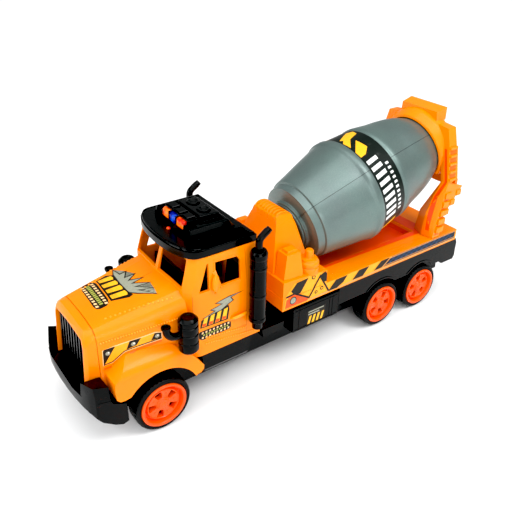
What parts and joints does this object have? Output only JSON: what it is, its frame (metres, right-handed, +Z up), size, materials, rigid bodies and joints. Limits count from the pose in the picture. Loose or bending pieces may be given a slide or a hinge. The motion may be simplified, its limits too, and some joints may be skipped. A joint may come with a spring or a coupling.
{
  "type": "toy cement mixer truck",
  "caption": "Push-along toy mixer truck: long-bonnet cab, tilted rotating drum on a bed between two stands, roof lamp module, wheels on through axles.",
  "frame": {"origin": "ground level under the middle of the truck's footprint", "axes": "+Z up, -Y towards the bonnet and grille, +Y towards the rear drum stand, +X towards the truck's left side"},
  "size_m": [0.1066, 0.372, 0.1812],
  "materials": {
    "moulded_orange": "semi-gloss injection moulded, orange",
    "moulded_black": "glossy injection moulded, near-black",
    "lens_amber": "clear tinted lens, red-amber",
    "lens_blue": "clear tinted lens, blue",
    "board_green": "solder mask, green",
    "steel": "bright plated steel",
    "bush_black": "matt moulded plastic, black",
    "drum_silver": "pearl silver-grey moulded plastic",
    "gear_white": "natural acetal, off-white",
    "rim_orange": "semi-gloss moulded, red-orange",
    "tyre_black": "moulded hollow tyre, satin black"
  },
  "bodies": {
    "chassis": {"cab_shell": "moulded_orange", "grille_surround": "moulded_orange", "bed": "moulded_orange", "drum_pedestal": "moulded_orange", "rear_frame": "moulded_orange", "grille_insert": "moulded_black", "front_bumper": "moulded_black", "cab_interior": "moulded_black", "steering_wheel": "moulded_black", "roof_shell": "moulded_black", "roof_base": "moulded_black", "roof_plate": "moulded_black", "exhaust_stack_left": "moulded_black", "exhaust_stack_right": "moulded_black", "air_filter_left": "moulded_black", "air_filter_right": "moulded_black", "chassis_tub": "moulded_black", "chassis_plate": "moulded_black", "beacon_lens_left": "lens_amber", "beacon_lens_right": "lens_amber", "tail_lamp_left": "lens_amber", "tail_lamp_right": "lens_amber", "beacon_lens_centre": "lens_blue", "circuit_board": "board_green", "battery_cell_1": "steel", "battery_cell_2": "steel", "battery_cell_3": "steel", "chassis_screw_1": "steel", "chassis_screw_2": "steel", "chassis_screw_3": "steel", "chassis_screw_4": "steel", "drum_front_bush": "bush_black", "drum_rear_bush": "bush_black", "speaker": "bush_black", "friction_motor_case": "gear_white"},
    "drum": {"drum_shell_left": "drum_silver", "drum_shell_right": "drum_silver", "drum_shaft": "bush_black"},
    "front_wheels": {"axle_front": "steel", "rim_front_left": "rim_orange", "rim_front_right": "rim_orange", "tyre_front_left": "tyre_black", "tyre_front_right": "tyre_black"},
    "mid_wheels": {"axle_mid": "steel", "rim_mid_left": "rim_orange", "rim_mid_right": "rim_orange", "tyre_mid_left": "tyre_black", "tyre_mid_right": "tyre_black", "drive_gear": "gear_white"},
    "rear_wheels": {"axle_rear": "steel", "rim_rear_left": "rim_orange", "rim_rear_right": "rim_orange", "tyre_rear_left": "tyre_black", "tyre_rear_right": "tyre_black"},
    "flywheel_rotor": {"flywheel": "steel"},
    "light_button": {"button_light": "moulded_black"},
    "sound_button": {"button_sound": "moulded_black"}
  },
  "joints": [
    {"name": "drum_spin", "type": "hinge", "parent": "chassis", "child": "drum", "pos_m": [0, 0.0665, 0.11632], "axis": [0, 0.965, 0.2622], "continuous": true},
    {"name": "front_axle_spin", "type": "hinge", "parent": "chassis", "child": "front_wheels", "pos_m": [0, -0.1312, 0.0212], "axis": [1, 0, 0], "continuous": true},
    {"name": "mid_axle_spin", "type": "hinge", "parent": "chassis", "child": "mid_wheels", "pos_m": [0, 0.0842, 0.0212], "axis": [1, 0, 0], "continuous": true},
    {"name": "rear_axle_spin", "type": "hinge", "parent": "chassis", "child": "rear_wheels", "pos_m": [0, 0.1348, 0.0212], "axis": [1, 0, 0], "continuous": true},
    {"name": "flywheel_spin", "type": "hinge", "parent": "chassis", "child": "flywheel_rotor", "pos_m": [0, 0.07628, 0.0212], "axis": [1, 0, 0], "continuous": true},
    {"name": "light_button_press", "type": "slide", "parent": "chassis", "child": "light_button", "axis": [0, 0, -1], "range_m": [0, 0.0012], "stiffness_N_per_m": 250, "springref_m": -0.0008},
    {"name": "sound_button_press", "type": "slide", "parent": "chassis", "child": "sound_button", "axis": [0, 0, -1], "range_m": [0, 0.0012], "stiffness_N_per_m": 250, "springref_m": -0.0008}
  ],
  "couplings": [
    {"joint": "flywheel_spin", "follows": "mid_axle_spin", "ratio": -2.25}
  ]
}
